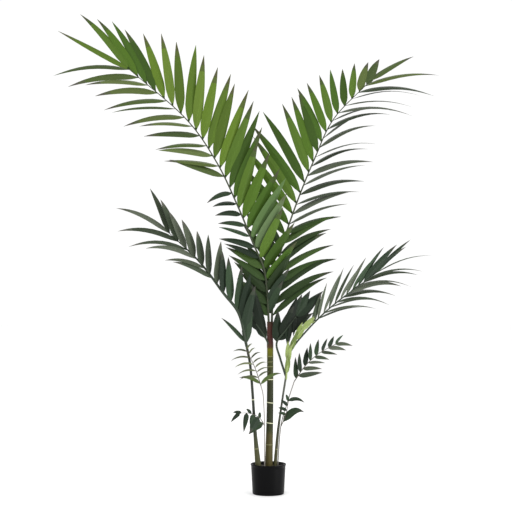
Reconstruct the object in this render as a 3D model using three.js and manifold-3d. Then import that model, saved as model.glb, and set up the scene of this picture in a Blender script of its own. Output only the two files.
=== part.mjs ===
// A potted kentia palm of the artificial kind: a painted cane with two tall fronds, two side
// stems with a lower frond each, two thin shoots with small leaves, and a filled nursery pot.
// Millimetres, +Z up, the origin at the centre of the pot's underside, the front towards -Y.
import * as THREE from "three";
import { mergeVertices } from "three/addons/utils/BufferGeometryUtils.js";
import Module from "manifold-3d";

const wasm = await Module();
wasm.setup();

// The pot and its fill
const POT_HEIGHT = 131;
const RIM_RADIUS = 77.5;
const BASE_RADIUS = 69;
const POT_WALL = 2.6;
const BASE_EDGE = 5;
const LIP_HEIGHT = 7;
const LIP_PROUD = 1.6;
const FILL_TOP = 118;
const CLEARANCE = 0.3;

// How finely the limbs and leaflets are cut, the smallest edge kept, and a leaflet's thickness as
// a share of its length
const POT_SIDES = 40;
const STEM_SIDES = 10;
const RIB_SIDES = 4;
const LEAF_SIDES = 4;
const RIB_STEPS = 3;
const SLIVER = 0.2;
const LIP_EDGE = 1;
const FILL_PLAY = 0.5;
const LEAF_THICKNESS = 0.012;

// How far single leaflets stray from their row: degrees, and a share of the length
const SPREAD_SCATTER = 2.5;
const LIFT_SCATTER = 3;
const TURN_SCATTER = 10;
const LENGTH_SCATTER = 0.04;

// The share of a turn that each kind of scatter steps on by from one leaflet to the next
const SPREAD_STEP = 0.618;
const LIFT_STEP = 0.755;
const TURN_STEP = 0.57;
const LENGTH_STEP = 0.414;

const { degToRad } = THREE.MathUtils;
const FRONT = new THREE.Vector3(0, -1, 0);
const UP = new THREE.Vector3(0, 0, 1);

// A leaflet's outline: shares of its length, and of its half width there
const LEAF_OUTLINE = [
  [0, 0],
  [0, 0.2],
  [0.3, 1],
  [0.68, 0.66],
  [1, 0],
];

// Stems: the route of the axis, the radii at even steps along it, and the steps
const STEMS = {
  trunk: {
    finish: "cane",
    route: [[2, 0, 112], [4, 0, 212], [7, 0, 343], [8, 0, 474], [8, 0, 637]],
    radii: [17, 15.5, 14.5, 13.5, 13.5],
    steps: 12,
  },
  crownshaft: {
    finish: "sheath",
    route: [[8, 0, 637], [7.5, 0, 694], [8.5, 0, 750]],
    radii: [13.5, 13.5, 14],
    steps: 4,
  },
  left_stem: {
    finish: "stem",
    route: [[-43, -22, 112], [-58, -28, 272], [-68, -34, 434], [-79, -38, 564], [-94, -40, 644]],
    radii: [14, 8.5, 6, 5.5, 5.5],
    steps: 12,
  },
  right_stem: {
    finish: "stem",
    route: [[29, 8, 112], [42, 4, 268], [61, -3, 409], [78, -10, 518]],
    radii: [8, 6, 4.5, 4.5],
    steps: 10,
  },
  left_shoot: {
    finish: "shoot",
    route: [[-16, -24, 112], [-17, -30, 303], [-22, -42, 426], [-32, -52, 474]],
    radii: [2.4, 2],
    steps: 8,
  },
  right_shoot: {
    finish: "shoot",
    route: [[41, 30, 112], [55, 31, 287], [82, 34, 387], [114, 36, 486]],
    radii: [2.6, 2.2],
    steps: 8,
  },
};

// Fronds: the route of the rib from its foot to its tip, its radii, and rows of leaflets. A row
// lies on the right (1) or left (-1) of the rib, between two shares of the rib. Its lists hold
// values at even steps from the first leaflet to the last: the angle from the rib, the lift
// towards the front and the turn of the blade in degrees, the length in millimetres, and the sag
// of the tip as a share of the length.
const FRONDS = {
  frond_upper_left: {
    finish: "bright",
    rib: [
      [1.5, -5, 750], [-5, -12, 888], [-21, -17, 989], [-65, -26, 1089], [-132, -42, 1251],
      [-224, -66, 1442], [-356, -102, 1627], [-592, -150, 1830],
    ],
    radii: [5.5, 4.5, 3.5, 1.8],
    rows: [
      {
        side: 1, count: 27, from: 0.03, to: 1, width: 37,
        spread: [27, 44, 53, 40, 48, 46, 46, 28, 11],
        lift: [10, 12, 12, 8, 3, 0, -4, -8, -8],
        turn: [25, 20, 10, 5, 0, 0, 5, 10, 10],
        length: [170, 235, 295, 310, 365, 340, 330, 305, 315],
        sag: [0.04, 0.04, 0.03, 0.02, 0.02, 0.03, 0.03, 0.03, 0.03],
      },
      {
        side: -1, count: 13, from: 0.52, to: 1, width: 32,
        spread: [45, 46, 38, 28, 30],
        lift: [30, 32, 30, 24, 14],
        turn: [62, 62, 62, 60, 55],
        length: [305, 265, 305, 295, 320],
        sag: [0.1, 0.14, 0.2, 0.22, 0.28],
      },
      {
        side: -1, count: 12, from: 0.02, to: 0.46, width: 32,
        spread: [46, 41, 40, 46, 58],
        lift: [2, 4, 8, 30, 50],
        turn: [15, 20, 35, 50, 60],
        length: [170, 215, 180, 140, 165],
        sag: [0.06, 0.08, 0.12, 0.2, 0.28],
      },
      {
        side: -1, count: 1, from: 1, to: 1, width: 28,
        spread: [14], lift: [12], turn: [40], length: [365], sag: [0.04],
      },
    ],
  },
  frond_upper_right: {
    finish: "bright",
    rib: [
      [15.5, 4, 750], [20, 9, 870], [40, 15, 990], [73, 22, 1120], [133, 38, 1291],
      [204, 62, 1464], [292, 96, 1646], [458, 160, 1821],
    ],
    radii: [5.5, 4.5, 3.5, 1.8],
    rows: [
      {
        side: -1, count: 24, from: 0.03, to: 0.98, width: 38,
        spread: [49, 46, 52, 54, 53, 38, 48, 46, 20],
        lift: [-4, -4, -4, -4, -3, 0, 4, 6, 6],
        turn: [10, 10, 5, 0, 0, 0, 5, 10, 10],
        length: [185, 220, 305, 365, 385, 300, 245, 175, 135],
        sag: [0.03, 0.03, 0.03, 0.03, 0.03, 0.03, 0.03, 0.03, 0.03],
      },
      {
        side: 1, count: 26, from: 0.02, to: 0.97, width: 30,
        spread: [46, 41, 34, 37, 39, 28, 22, 22, 18],
        lift: [0, -4, -8, -12, -18, -22, -22, -18, -8],
        turn: [-10, -20, -35, -50, -60, -60, -60, -55, -50],
        length: [375, 355, 290, 325, 370, 400, 430, 425, 420],
        sag: [0.28, 0.26, 0.24, 0.24, 0.26, 0.28, 0.3, 0.28, 0.26],
      },
      {
        side: 1, count: 1, from: 1, to: 1, width: 26,
        spread: [16], lift: [-6], turn: [-40], length: [275], sag: [0.03],
      },
    ],
  },
  frond_lower_left: {
    finish: "dark",
    rib: [[-94, -40, 644], [-127, -66, 786], [-197, -86, 881], [-296, -98, 1011], [-424, -90, 1133]],
    radii: [5, 4, 3, 1.6],
    rows: [
      {
        side: 1, count: 13, from: 0.02, to: 1, width: 32,
        spread: [19, 25, 36, 40, 29, 25, 25],
        lift: [4, 8, 10, 14, 18, 18, 14],
        turn: [20, 15, 20, 30, 40, 40, 35],
        length: [235, 220, 205, 200, 165, 195, 210],
        sag: [0.02, 0.02, 0.02, 0.03, 0.03, 0.03, 0.03],
      },
      {
        side: -1, count: 6, from: 0.56, to: 1, width: 24,
        spread: [30, 28, 24, 24, 16],
        lift: [20, 24, 26, 22, 12],
        turn: [50, 50, 45, 35, 15],
        length: [215, 200, 280, 280, 280],
        sag: [0.1, 0.16, 0.2, 0.2, 0.12],
      },
      {
        side: -1, count: 1, from: 0.03, to: 0.03, width: 22,
        spread: [34], lift: [4], turn: [50], length: [165], sag: [0.04],
      },
    ],
  },
  frond_lower_right: {
    finish: "dark",
    rib: [[78, -10, 518], [94, -18, 615], [164, -26, 709], [281, -24, 822], [469, 16, 960]],
    radii: [4.5, 3.8, 3, 1.6],
    rows: [
      {
        side: -1, count: 12, from: 0.42, to: 1, width: 26,
        spread: [34, 26, 26, 16, 5],
        lift: [6, 8, 8, 6, 0],
        turn: [30, 35, 40, 40, 40],
        length: [155, 200, 185, 220, 225],
        sag: [0.02, 0.02, 0.03, 0.03, 0.03],
      },
      {
        side: 1, count: 10, from: 0.47, to: 1, width: 25,
        spread: [26, 24, 18, 16, 10],
        lift: [-14, -18, -20, -16, -8],
        turn: [-45, -45, -35, -45, -45],
        length: [235, 280, 300, 300, 290],
        sag: [0.16, 0.18, 0.2, 0.2, 0.14],
      },
    ],
  },
  heart_left: {
    finish: "dark",
    rib: [[2, -8, 652], [-22, -16, 696], [-54, -20, 742]],
    radii: [4.5, 3.5, 2.5],
    rows: [
      {
        side: 1, count: 6, from: 0.25, to: 1, width: 40,
        spread: [8, 22, 20, 12], lift: [-4, -6, -8, -10],
        turn: [15, 15, 10, 10], length: [230, 245, 230, 190], sag: [0.02, 0.02, 0.02, 0.02],
      },
      {
        side: -1, count: 3, from: 0.3, to: 1, width: 34,
        spread: [2, 4], lift: [-2, -4], turn: [20, 20], length: [150, 140], sag: [0.02, 0.02],
      },
    ],
  },
  heart_right: {
    finish: "dark",
    rib: [[76, -11, 514], [51, -22, 593], [36, -26, 658], [72, -32, 710], [120, -38, 773]],
    radii: [4, 3.6, 3.4, 2],
    rows: [
      {
        side: 1, count: 4, from: 0.56, to: 1, width: 38,
        spread: [17, 14, 6], lift: [-6, -4, -8],
        turn: [-15, -15, -20], length: [150, 160, 170], sag: [0.03, 0.03, 0.03],
      },
      {
        side: -1, count: 5, from: 0.53, to: 1, width: 38,
        spread: [19, 20, 10], lift: [6, 8, 4],
        turn: [20, 20, 20], length: [150, 150, 130], sag: [0.02, 0.02, 0.02],
      },
      {
        side: 1, count: 3, from: 0.78, to: 1, width: 18,
        spread: [142, 150, 152], lift: [12, 14, 14],
        turn: [0, 0, 0], length: [85, 90, 80], sag: [0.05, 0.05, 0.05],
      },
    ],
  },
  young_leaf: {
    finish: "pale",
    rib: [[78, -10, 500], [81, -36, 548], [93, -54, 625], [143, -64, 716], [201, -66, 755]],
    radii: [4, 3, 2, 1.2],
    rows: [
      {
        side: 1, count: 5, from: 0.1, to: 0.78, width: 24,
        spread: [4, 4], lift: [0, 0], turn: [0, 0], length: [90, 80], sag: [0.02, 0.06],
      },
      {
        side: -1, count: 5, from: 0.14, to: 0.8, width: 24,
        spread: [5, 5], lift: [0, 0], turn: [0, 0], length: [95, 75], sag: [0.02, 0.05],
      },
    ],
  },
  small_frond_left: {
    finish: "olive",
    rib: [[-32, -52, 474], [-53, -58, 540], [-73, -60, 587], [-95, -60, 631]],
    radii: [2, 1.6, 1.1],
    rows: [
      {
        side: 1, count: 7, from: 0.24, to: 1, width: 9,
        spread: [62, 62, 60, 58, 50], lift: [6, 10, 12, 10, 6],
        turn: [30, 30, 30, 30, 30], length: [84, 82, 80, 78, 62], sag: [0.44, 0.47, 0.5, 0.5, 0.5],
      },
      {
        side: -1, count: 5, from: 0.22, to: 0.95, width: 9,
        spread: [48, 46, 44, 40, 34], lift: [12, 14, 14, 12, 8],
        turn: [30, 30, 30, 30, 30], length: [96, 92, 90, 96, 70], sag: [0.5, 0.5, 0.5, 0.48, 0.46],
      },
      {
        side: 1, count: 1, from: 0.04, to: 0.04, width: 15,
        spread: [60], lift: [6], turn: [10], length: [145], sag: [0.4],
      },
      {
        side: -1, count: 1, from: 0.06, to: 0.06, width: 15,
        spread: [35], lift: [8], turn: [10], length: [127], sag: [0.4],
      },
    ],
  },
  small_frond_right: {
    finish: "olive",
    rib: [[114, 36, 486], [162, 42, 553], [223, 50, 608], [296, 58, 648]],
    radii: [2.2, 1.7, 1.1],
    rows: [
      {
        side: -1, count: 8, from: 0.06, to: 1, width: 18,
        spread: [40, 34, 38, 42, 40, 26], lift: [-10, -12, -14, -12, -10, -6],
        turn: [25, 25, 25, 25, 25, 25], length: [105, 88, 92, 80, 66, 58],
        sag: [0.04, 0.06, 0.08, 0.08, 0.1, 0.1],
      },
      {
        side: 1, count: 7, from: 0.12, to: 1, width: 18,
        spread: [44, 38, 36, 32, 24, 16], lift: [14, 16, 14, 12, 10, 6],
        turn: [-30, -30, -30, -30, -30, -30], length: [118, 82, 70, 66, 84, 78],
        sag: [0.2, 0.2, 0.2, 0.2, 0.26, 0.26],
      },
    ],
  },
  base_sprout_left: {
    finish: "olive",
    rib: [[-17, -30, 300], [-38, -44, 335], [-80, -54, 356], [-123, -58, 358]],
    radii: [2, 1.6, 1.1],
    rows: [
      {
        side: -1, count: 2, from: 0.1, to: 0.36, width: 36,
        spread: [92, 88], lift: [16, 12], turn: [0, 0], length: [80, 70], sag: [0.1, 0.1],
      },
      {
        side: -1, count: 3, from: 0.56, to: 1, width: 16,
        spread: [96, 80, 36], lift: [8, 6, 4],
        turn: [15, 20, 20], length: [46, 66, 46], sag: [0.3, 0.3, 0.3],
      },
      {
        side: 1, count: 3, from: 0.3, to: 0.95, width: 15,
        spread: [40, 36, 24], lift: [12, 10, 6],
        turn: [20, 20, 20], length: [50, 46, 40], sag: [0.3, 0.3, 0.3],
      },
    ],
  },
  base_sprout_right: {
    finish: "olive",
    rib: [[56, 31, 290], [70, 8, 325], [80, -12, 361], [88, -22, 406]],
    radii: [2, 1.6, 1.1],
    rows: [
      {
        side: 1, count: 2, from: 0.2, to: 1, width: 24,
        spread: [10, 45], lift: [4, 2],
        turn: [-10, -10], length: [220, 85], sag: [0.46, 0.6],
      },
      {
        side: -1, count: 4, from: 0.5, to: 1, width: 15,
        spread: [66, 60, 46, 24], lift: [16, 14, 12, 6],
        turn: [20, 20, 20, 20], length: [48, 52, 50, 42], sag: [0.24, 0.24, 0.24, 0.2],
      },
    ],
  },
};

// Colours, roughness and metalness
const FINISHES = {
  pot: [0x161616, 0.55],
  fill: [0x24201c, 0.95],
  cane: [0x33361f, 0.6],
  sheath: [0x5a2f2c, 0.6],
  stem: [0x2f3d2c, 0.65],
  shoot: [0x8a8480, 0.7],
  bright: [0x4a6b20, 0.6],
  dark: [0x2f3d2e, 0.6],
  pale: [0x93a860, 0.6],
  olive: [0x3d4636, 0.6],
};

// A whole mesh as a solid that can be joined and cut
function solidOf(geometry) {
  const vertProperties = geometry.getAttribute("position").array;
  const triVerts = new Uint32Array(geometry.index.array);
  return new wasm.Manifold(new wasm.Mesh({ numProp: 3, vertProperties, triVerts }));
}

// A solid back as a geometry
function geometryOf(solid) {
  const { vertProperties, triVerts } = solid.getMesh();
  const geometry = new THREE.BufferGeometry();
  geometry.setAttribute("position", new THREE.BufferAttribute(vertProperties, 3));
  geometry.setIndex(new THREE.BufferAttribute(triVerts, 1));
  geometry.computeVertexNormals();
  return geometry;
}

// A profile of [height, radius] pairs turned about the axis, with its vertices shared
function turned(profile, sides) {
  const points = profile.map(([height, radius]) => new THREE.Vector2(radius, height));
  const lathe = new THREE.LatheGeometry(points, sides);
  lathe.deleteAttribute("normal");
  lathe.deleteAttribute("uv");
  return mergeVertices(lathe);
}

// The direction that faces as asked, square to the tangent, and turned about it
function frontAt(tangent, facing, turn) {
  const front = facing.clone().addScaledVector(tangent, -facing.dot(tangent)).normalize();
  return front.applyAxisAngle(tangent, turn);
}

// A turned profile, its heights shares of a curve, flattened to a width and a thickness and laid
// along the curve, and straight on past its ends. The section is set square to the curve's start,
// turned about it, and carried along with the curve's bend.
function laid(profile, sides, curve, across, through, facing, turn = 0) {
  const piece = turned(profile, sides);
  const length = curve.getLength();
  const start = curve.getTangentAt(0);
  const front = frontAt(start, facing, turn);
  const sideways = start.clone().cross(front);
  const at = piece.getAttribute("position");
  const local = new THREE.Vector3();
  for (let i = 0; i < at.count; i++) {
    local.fromBufferAttribute(at, i);
    const share = Math.min(1, Math.max(0, local.y));
    const tangent = curve.getTangentAt(share);
    const bend = new THREE.Quaternion().setFromUnitVectors(start, tangent);
    const offset = sideways.clone().multiplyScalar(local.x * across);
    offset.addScaledVector(front, local.z * through).applyQuaternion(bend);
    const spot = curve.getPointAt(share).addScaledVector(tangent, (local.y - share) * length);
    spot.add(offset);
    at.setXYZ(i, spot.x, spot.y, spot.z);
  }
  return solidOf(piece);
}

// The value at a share of a list whose values lie at even steps
function valueAt(list, share) {
  const spot = share * (list.length - 1);
  const low = Math.max(0, Math.min(Math.floor(spot), list.length - 2));
  const next = list[Math.min(low + 1, list.length - 1)];
  return list[low] + (spot - low) * (next - list[low]);
}

// A smooth route through a few points
function routeOf(points) {
  const spots = points.map((point) => new THREE.Vector3(...point));
  return new THREE.CatmullRomCurve3(spots, false, "catmullrom", 0.5);
}

// A round limb along a route, its radii at even steps, grown by a margin on all sides
function limb(route, radii, steps, sides, margin = 0) {
  const past = margin / route.getLength();
  const profile = [[-past, 0]];
  for (let i = 0; i <= steps; i++) {
    const share = i / steps;
    profile.push([share - past + 2 * past * share, valueAt(radii, share) + margin]);
  }
  profile.push([1 + past, 0]);
  return laid(profile, sides, route, 1, 1, FRONT);
}

// A steady scatter between -1 and 1: how far a count of steps reaches past a whole number
const scatter = (count, step) => 2 * ((count * step) % 1) - 1;

// One leaflet of a row: it leaves the rib at its angle, and its tip sags
function leaflet(rib, facing, row, count, margin = 0) {
  const along = row.count > 1 ? count / (row.count - 1) : 0;
  const value = (name) => valueAt(row[name], along);
  const share = row.from + along * (row.to - row.from);
  const strayed = (name, most, step) => degToRad(value(name) + most * scatter(count, step));
  const spread = strayed("spread", SPREAD_SCATTER, SPREAD_STEP);
  const lift = strayed("lift", LIFT_SCATTER, LIFT_STEP);
  const turn = strayed("turn", TURN_SCATTER, TURN_STEP);
  const length = value("length") * (1 + LENGTH_SCATTER * scatter(count, LENGTH_STEP));
  const tangent = rib.getTangentAt(share);
  const front = frontAt(tangent, facing, 0);
  const right = tangent.clone().cross(front);
  const way = tangent.clone().multiplyScalar(Math.cos(spread) * Math.cos(lift));
  way.addScaledVector(right, row.side * Math.sin(spread) * Math.cos(lift));
  way.addScaledVector(front, Math.sin(lift));
  const foot = rib.getPointAt(share);
  const middle = foot.clone().addScaledVector(way, length / 2);
  const tip = foot.clone().addScaledVector(way, length).addScaledVector(UP, -value("sag") * length);
  const curve = new THREE.QuadraticBezierCurve3(foot, middle, tip);
  const through = (LEAF_THICKNESS * length) / 2 + margin;
  return laid(LEAF_OUTLINE, LEAF_SIDES, curve, row.width / 2 + margin, through, front, turn);
}

// The largest closed skin of a solid: a sealed hollow is filled and a loose scrap is dropped
function largest(solid) {
  const skins = solid.asOriginal().simplify(SLIVER).decompose();
  return skins.reduce((best, skin) => (skin.volume() > best.volume() ? skin : best));
}

// The leaflets of a frond that touch none of its neighbours, joined to its rib
function leafed({ rib: points, rows }, bare, neighbours) {
  const rib = routeOf(points);
  let whole = bare;
  for (const row of rows) {
    for (let count = 0; count < row.count; count++) {
      const room = leaflet(rib, FRONT, row, count, CLEARANCE);
      const touches = neighbours.some((other) => !room.intersect(other).isEmpty());
      if (!touches) whole = whole.add(leaflet(rib, FRONT, row, count));
    }
  }
  return largest(whole);
}

// A mesh of one finish, placed where its solid is
function meshOf(name, solid, finish) {
  const [color, roughness] = FINISHES[finish];
  const material = new THREE.MeshStandardMaterial({ color, roughness, metalness: 0 });
  const mesh = new THREE.Mesh(geometryOf(solid), material);
  mesh.name = name;
  return mesh;
}

// The pot's outer radius at a height
const wallAt = (height) => BASE_RADIUS + ((RIM_RADIUS - LIP_PROUD - BASE_RADIUS) * height) / POT_HEIGHT;

// The pot: a tapered wall over a flat underside with a round edge, and a thin lip
function potSolid() {
  const profile = [[0, 0]];
  for (let i = 0; i <= 4; i++) {
    const angle = (i / 4) * (Math.PI / 2);
    const out = wallAt(BASE_EDGE) - BASE_EDGE * (1 - Math.sin(angle));
    profile.push([BASE_EDGE * (1 - Math.cos(angle)), out]);
  }
  const lip = POT_HEIGHT - LIP_HEIGHT;
  profile.push([lip, wallAt(lip)], [lip + LIP_PROUD, RIM_RADIUS]);
  profile.push([POT_HEIGHT - LIP_EDGE, RIM_RADIUS], [POT_HEIGHT, RIM_RADIUS - LIP_EDGE]);
  profile.push([POT_HEIGHT, wallAt(POT_HEIGHT) - POT_WALL]);
  profile.push([POT_WALL, wallAt(0) - POT_WALL], [POT_WALL, 0]);
  return solidOf(turned(profile, POT_SIDES).rotateX(Math.PI / 2));
}

// The fill, grown upwards by a margin where the stems are cut clear of it
function fillSolid(margin = 0) {
  const inner = (height) => wallAt(height) - POT_WALL - FILL_PLAY;
  const foot = POT_WALL + CLEARANCE;
  const top = FILL_TOP + margin;
  const profile = [[foot, 0], [foot, inner(foot)], [top, inner(top)], [top, 0]];
  return solidOf(turned(profile, POT_SIDES).rotateX(Math.PI / 2));
}

// Limbs are cut off level with the fill, and clear of the limbs before them
const limbs = { ...STEMS };
for (const [name, plan] of Object.entries(FRONDS)) {
  limbs[name] = { route: plan.rib, radii: plan.radii, steps: RIB_STEPS * (plan.rib.length - 1) };
}
const solids = new Map();
const cutters = [fillSolid(CLEARANCE)];
for (const [name, { route: points, radii, steps }] of Object.entries(limbs)) {
  const route = routeOf(points);
  const sides = name in STEMS ? STEM_SIDES : RIB_SIDES;
  let solid = limb(route, radii, steps, sides);
  for (const cutter of cutters) solid = solid.subtract(cutter);
  solids.set(name, largest(solid));
  cutters.push(limb(route, radii, steps, sides, CLEARANCE));
}
for (const [name, plan] of Object.entries(FRONDS)) {
  const bare = solids.get(name);
  const neighbours = [...solids.values()].filter((other) => other !== bare);
  solids.set(name, leafed(plan, bare, neighbours));
}

const palm = new THREE.Group();
palm.add(meshOf("pot", potSolid(), "pot"), meshOf("pot_fill", fillSolid(), "fill"));
for (const [name, solid] of solids) {
  palm.add(meshOf(name, solid, (STEMS[name] ?? FRONDS[name]).finish));
}

export default palm;
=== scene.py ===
# %% [markdown]
# # An artificial kentia palm in its pot
#
# A kentia palm is a feather palm: each frond is one long rib with a row of narrow leaflets on
# either side. This one is made of coated fabric on wired plastic ribs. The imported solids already
# say where every stem and frond is, so this script dresses them: each solid is replaced by a
# finer piece that follows the same rule, and nothing moves.

from math import degrees, pi, radians

import bpy
import numpy as np
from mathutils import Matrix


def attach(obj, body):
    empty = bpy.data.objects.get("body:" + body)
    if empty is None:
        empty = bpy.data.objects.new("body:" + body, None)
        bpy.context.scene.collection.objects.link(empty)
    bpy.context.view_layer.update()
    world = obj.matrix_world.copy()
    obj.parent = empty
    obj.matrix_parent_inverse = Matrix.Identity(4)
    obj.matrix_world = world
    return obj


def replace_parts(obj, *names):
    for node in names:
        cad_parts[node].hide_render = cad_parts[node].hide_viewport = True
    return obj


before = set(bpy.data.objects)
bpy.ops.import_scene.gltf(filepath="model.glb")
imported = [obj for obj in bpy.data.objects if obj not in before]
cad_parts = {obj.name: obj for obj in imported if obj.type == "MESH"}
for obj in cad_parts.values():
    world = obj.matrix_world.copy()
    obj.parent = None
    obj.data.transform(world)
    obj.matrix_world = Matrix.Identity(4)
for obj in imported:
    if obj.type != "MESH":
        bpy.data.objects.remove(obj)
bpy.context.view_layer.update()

# %% [markdown]
# The solids were worked out in millimetres, and Blender works in metres. Points below are in
# millimetres, as a plant maker would measure them, and one factor turns them into metres.

# %% Directions and units
MM = 0.001
FRONT = np.array([0.0, -1.0, 0.0])
UP = np.array([0.0, 0.0, 1.0])


def unit(vectors):
    """The vectors cut to length one: each over the root of its squares' sum."""
    return vectors / np.linalg.norm(vectors, axis=-1, keepdims=True)


def square_to(way, along):
    """The part of a direction that is square to another: way less its share along, made unit."""
    return unit(way - np.sum(way * along, axis=-1, keepdims=True) * along)


print("one millimetre is", MM, "of a metre")

# %% [markdown]
# A stem or a rib is a smooth line through a few points. Blender has curve objects for that, but
# leaflets have to stand at even steps of the line's real length, so the line is worked out here.
# Between two points runs a cubic whose slope at each point is half the step between that point's
# neighbours, which is the Catmull-Rom curve, and a small table turns a share of the length into a
# place on it.

# %% A smooth route through points
TABLE_STEPS = 200
SLOPE_STEP = 1e-4


class Route:
    """A smooth line. Between b and c, with slopes m and n there, it is
    b + m w + (3c - 3b - 2m - n) w2 + (2b - 2c + m + n) w3."""

    def __init__(self, points):
        inner = np.array(points, float) * MM
        first = 2 * inner[0] - inner[1]
        last = 2 * inner[-1] - inner[-2]
        self.knots = np.vstack([first, inner, last])
        self.spans = len(inner) - 1
        self.steps = np.linspace(0, 1, TABLE_STEPS + 1)
        pieces = np.linalg.norm(np.diff(self.spot(self.steps), axis=0), axis=1)
        self.reach = np.concatenate([[0], np.cumsum(pieces)])

    def spot(self, step):
        """The point at a step, where every span between two knots takes an even share of the steps."""
        span = np.clip((step * self.spans).astype(int), 0, self.spans - 1)
        w = (step * self.spans - span)[:, None]
        a, b, c, d = (self.knots[span + k] for k in range(4))
        m = (c - a) / 2
        n = (d - b) / 2
        return b + m * w + (3 * c - 3 * b - 2 * m - n) * w**2 + (2 * b - 2 * c + m + n) * w**3

    def step_of(self, share):
        """The step that lies at a share of the route's length."""
        return np.interp(share * self.reach[-1], self.reach, self.steps)

    def at(self, share):
        """The point at a share of the route's length."""
        return self.spot(self.step_of(share))

    def heading(self, share):
        """The unit direction of the route there: a short step forward less a short step back."""
        step = self.step_of(share)
        ahead = self.spot(np.minimum(1, step + SLOPE_STEP))
        behind = self.spot(np.maximum(0, step - SLOPE_STEP))
        return unit(ahead - behind)


def even(values, share):
    """The value at a share of a list whose values lie at even steps, or the one value there is."""
    values = np.atleast_1d(values)
    return np.interp(share, np.linspace(0, 1, len(values)), values)


print("a route is tabled at", TABLE_STEPS, "steps")

# %% [markdown]
# Almost every piece of a palm is a tube: a rib, a stem, and even a leaflet, which is a tube with
# only four points round it. A curve object with a bevel could make the round ones, but not the
# leaflets, so one helper makes them all. It takes rings of points as one array, joins each ring to
# the next with four-sided faces, and closes both ends. Working on whole arrays makes hundreds of
# leaflets as fast as one.

# %% Tubes from rings
SOFT_EDGE = 35


def wall_of(rings):
    """Faces of tubes whose rings[n, m, r] are point r of ring m of tube n. A face joins points r
    and r + 1 of ring m to the same points of ring m + 1. Each end is closed by faces that fan out
    from the ring's first point, so a ring has an even number of points."""
    tubes, stations, sides = rings.shape[:3]
    spot = np.arange(tubes * stations * sides).reshape(tubes, stations, sides)
    beside = np.roll(spot, -1, axis=2)
    wall = np.stack([spot[:, :-1], beside[:, :-1], beside[:, 1:], spot[:, 1:]], axis=-1)
    fan = np.array([[0, j, j + 1, j + 2] for j in range(1, sides - 2, 2)])
    foot = spot[:, 0][:, fan][..., ::-1]
    tip = spot[:, -1][:, fan]
    return wall, foot, tip


def piece(name, points, faces, finishes, finish_of_face, sharp=SOFT_EDGE):
    """A mesh object from arrays of points and four-sided faces, that rides on the plant's body.
    Faces that meet at more than the sharp angle, in degrees, keep their edge in the shading."""
    mesh = bpy.data.meshes.new(name)
    mesh.vertices.add(len(points))
    mesh.vertices.foreach_set("co", points.ravel())
    mesh.loops.add(faces.size)
    mesh.loops.foreach_set("vertex_index", faces.ravel())
    mesh.polygons.add(len(faces))
    mesh.polygons.foreach_set("loop_start", np.arange(0, faces.size, 4))
    mesh.polygons.foreach_set("loop_total", np.full(len(faces), 4))
    for material in finishes:
        mesh.materials.append(material)
    mesh.polygons.foreach_set("material_index", finish_of_face)
    mesh.update(calc_edges=True)
    mesh.set_sharp_from_angle(angle=radians(sharp))
    made = bpy.data.objects.new(name, mesh)
    bpy.context.scene.collection.objects.link(made)
    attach(made, "root")
    print(name, "has", len(faces), "faces")
    return made


def tube_piece(name, rings, tube_finish, sharp=SOFT_EDGE):
    """Tubes of one finish as a piece."""
    faces = np.concatenate([part.reshape(-1, 4) for part in wall_of(rings)])
    plain = np.zeros(len(faces), int)
    return piece(name, rings.reshape(-1, 3), faces, [tube_finish], plain, sharp)


print("edges stay soft up to", SOFT_EDGE, "degrees")

# %% [markdown]
# A limb is a round tube along a route. Its radius runs through a few values at even steps, and a
# relief function may swell or groove it by height and by angle, which a curve's bevel can't do.

# %% Round limbs
def limb_rings(route, radii, shares, sides, relief=None):
    """One tube: at each share, a circle of that radius square to the route. The relief is a length
    in metres added to the radius, worked out from the share along the limb and the angle round it."""
    centre = route.at(shares)
    along = route.heading(shares)
    front = square_to(np.broadcast_to(FRONT, along.shape), along)
    side = np.cross(along, front)
    angle = np.arange(sides) * 2 * pi / sides
    radius = np.repeat(even(radii, shares)[:, None] * MM, sides, axis=1)
    if relief is not None:
        radius = radius + relief(shares[:, None], angle[None, :])
    cos, sin = np.cos(angle)[None, :, None], np.sin(angle)[None, :, None]
    across = cos * side[:, None] - sin * front[:, None]
    return (centre[:, None] + radius[..., None] * across)[None]


print("a limb's circles stand square to its route")

# %% [markdown]
# ## Leaf finishes
#
# The leaflets are printed fabric with a thin coat, so they are satin rather than waxy. The photo
# shows fresh green leaflets high up, dark grey-green ones low down, paler backs, and brownish
# dry-looking tips. The darker greens low down and inside the plant are painted shade. A single
# image could carry all that, but plain colours dealt out leaflet by leaflet look the same from a
# step away and never stretch or smear.

# %% A finish with a fine grain
GRAIN_DETAIL = 3


def finish(name, colour, roughness, grain=0.0, scale=(400, 400, 400), specular=0.5):
    """A plain material. Where it has a grain, a noise on the object's own coordinates, scaled each
    way in cells to the metre, gives it a fine bump of that depth in millimetres."""
    made = bpy.data.materials.new(name)
    made.use_nodes = True
    nodes, links = made.node_tree.nodes, made.node_tree.links
    shader = nodes["Principled BSDF"]
    shader.inputs["Base Color"].default_value = (*colour, 1)
    shader.inputs["Roughness"].default_value = roughness
    shader.inputs["Specular IOR Level"].default_value = specular
    made.diffuse_color = (*colour, 1)
    if grain:
        place = nodes.new("ShaderNodeTexCoord")
        stretch = nodes.new("ShaderNodeMapping")
        noise = nodes.new("ShaderNodeTexNoise")
        bump = nodes.new("ShaderNodeBump")
        stretch.inputs["Scale"].default_value = scale
        noise.inputs["Scale"].default_value = 1.0
        noise.inputs["Detail"].default_value = GRAIN_DETAIL
        bump.inputs["Distance"].default_value = grain * MM
        links.new(place.outputs["Object"], stretch.inputs["Vector"])
        links.new(stretch.outputs["Vector"], noise.inputs["Vector"])
        links.new(noise.outputs["Fac"], bump.inputs["Height"])
        links.new(bump.outputs["Normal"], shader.inputs["Normal"])
    return made


print("a grain has", GRAIN_DETAIL, "finer octaves")

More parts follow.
